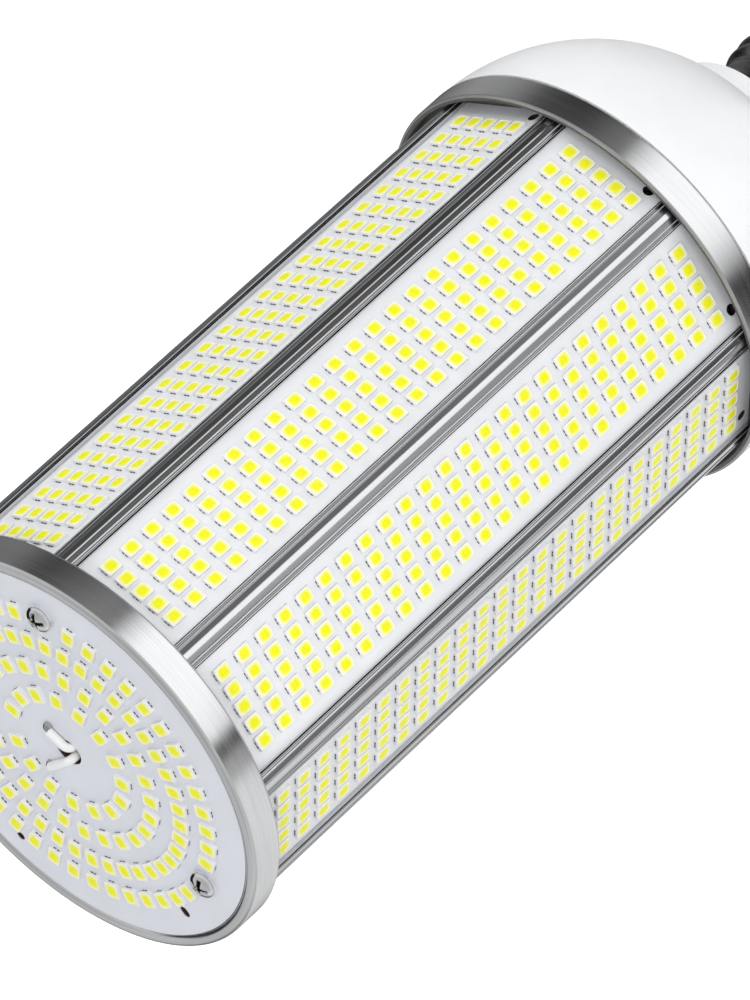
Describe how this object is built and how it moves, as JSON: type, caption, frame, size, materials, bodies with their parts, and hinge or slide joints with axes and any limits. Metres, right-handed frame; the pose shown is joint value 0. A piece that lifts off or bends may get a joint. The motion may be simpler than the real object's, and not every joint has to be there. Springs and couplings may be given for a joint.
{
  "type": "corn led bulb",
  "caption": "Corn-style LED bulb: many-sided aluminium body covered in LED strips, round LED front board in a brushed ring, white domed cap and screw base.",
  "frame": {"origin": "centre of the collar's rim, where the screw shell starts", "axes": "+Z along the bulb's axis from the screw base to the light-emitting front; one strip faces -Y"},
  "size_m": [0.086, 0.086, 0.2188],
  "materials": {
    "extrusion": "extruded, ribbed lands",
    "ring_metal": "brushed round the ring",
    "white_board": "white solder mask",
    "led_package": "white package with yellow phosphor",
    "screw_plating": "plated",
    "white_cap": "satin moulded",
    "base_metal": "plated sheet metal",
    "base_insulator": "black glassy insulator",
    "contact_metal": "plated contact",
    "lead_sheath": "white sheath",
    "solder": "bright solder",
    "bare_wire": "tinned wire",
    "driver_case": "moulded",
    "circuit_board": "green laminate",
    "ferrite": "ferrite",
    "winding": "enamelled wire",
    "capacitor_sleeve": "shrunk sleeve",
    "moulded_component": "moulded",
    "fuse_body": "coated"
  },
  "bodies": {
    "root": {"extruded_body": "extrusion", "front_ring": "ring_metal", "rear_ring": "ring_metal", "front_board": "white_board", "front_board_leds": "led_package", "front_board_screws": "screw_plating", "rear_screws": "screw_plating", "rear_cap": "white_cap", "screw_shell": "base_metal", "base_insulator": "base_insulator", "centre_contact": "contact_metal", "driver_case": "driver_case", "driver_board": "circuit_board", "transformer_core": "ferrite", "transformer_winding": "winding", "input_capacitor": "capacitor_sleeve", "output_capacitor": "capacitor_sleeve", "line_choke": "winding", "film_capacitor": "moulded_component", "bridge_rectifier": "moulded_component", "switching_transistor": "moulded_component", "fuse": "fuse_body", "front_lead_1": "lead_sheath", "front_lead_2": "lead_sheath", "contact_lead": "lead_sheath", "shell_lead": "lead_sheath", "front_solder_joints": "solder", "strip_feed_bus": "bare_wire", "strip_return_bus": "bare_wire", "led_strip_1": "white_board", "strip_leds_1": "led_package", "led_strip_2": "white_board", "strip_leds_2": "led_package", "led_strip_3": "white_board", "strip_leds_3": "led_package", "led_strip_4": "white_board", "strip_leds_4": "led_package", "led_strip_5": "white_board", "strip_leds_5": "led_package", "led_strip_6": "white_board", "strip_leds_6": "led_package", "led_strip_7": "white_board", "strip_leds_7": "led_package", "led_strip_8": "white_board", "strip_leds_8": "led_package", "led_strip_9": "white_board", "strip_leds_9": "led_package"}
  },
  "joints": []
}
